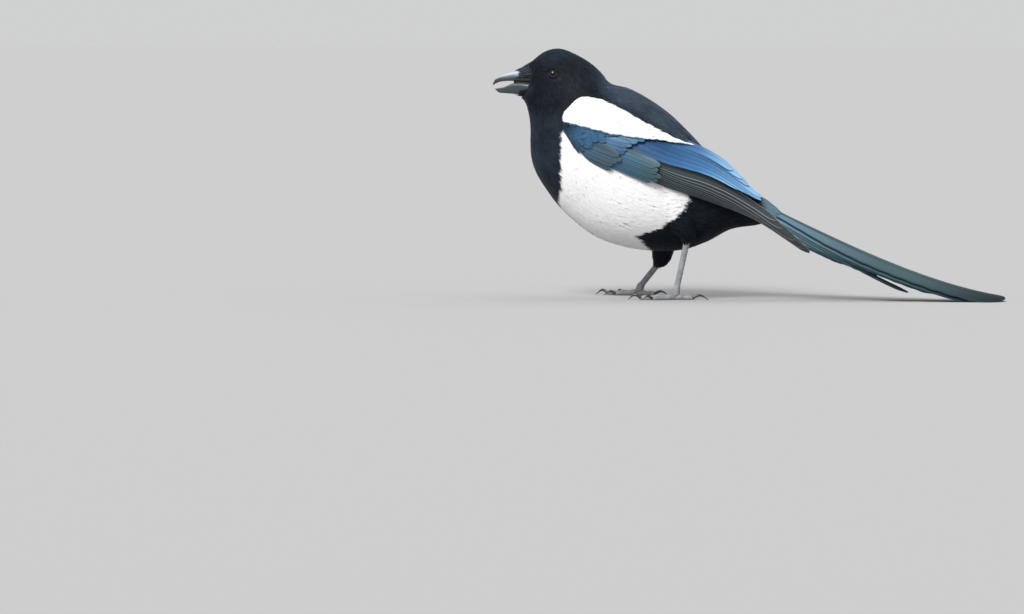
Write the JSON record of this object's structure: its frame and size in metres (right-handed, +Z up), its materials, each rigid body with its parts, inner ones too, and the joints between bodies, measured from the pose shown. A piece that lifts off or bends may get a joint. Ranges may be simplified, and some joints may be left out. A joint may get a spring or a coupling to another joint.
{
  "type": "magpie figure",
  "caption": "Life-size still figure of a standing black and white magpie with a long tail, its bill a little open.",
  "frame": {"origin": "on the floor, below the middle of the bird's bounding box", "axes": "+X towards the tip of the tail, so the bird faces -X; +Y towards its right side; +Z up"},
  "size_m": [0.393, 0.1032, 0.1892],
  "materials": {
    "head": "black feathers, soft sheen",
    "neck": "black feathers, soft sheen",
    "torso": "white flank and belly feathers, black back and vent",
    "upper_bill": "dark horn, satin",
    "lower_bill": "dark horn, satin",
    "eye_left": "very dark brown, wet gloss",
    "eye_right": "very dark brown, wet gloss",
    "wing_left": "glossy blue vanes, white shoulder, dark flight feathers",
    "wing_right": "glossy blue vanes, white shoulder, dark flight feathers",
    "tail": "glossy dark teal vanes, purple-black towards the tip",
    "thigh_left": "black feathers",
    "thigh_right": "black feathers",
    "shank": "grey-black scutes",
    "foot": "grey-black scutes",
    "claw": "black horn"
  },
  "bodies": {
    "root": {"head": "head", "neck": "neck", "torso": "torso", "upper_bill": "upper_bill", "lower_bill": "lower_bill", "eye_left": "eye_left", "eye_right": "eye_right", "wing_left": "wing_left", "wing_right": "wing_right", "tail": "tail", "thigh_left": "thigh_left", "thigh_right": "thigh_right", "shank_left": "shank", "shank_right": "shank", "foot_left": "foot", "foot_right": "foot", "claw_left_inner": "claw", "claw_left_middle": "claw", "claw_left_outer": "claw", "claw_left_hind": "claw", "claw_right_inner": "claw", "claw_right_middle": "claw", "claw_right_outer": "claw", "claw_right_hind": "claw"}
  },
  "joints": []
}
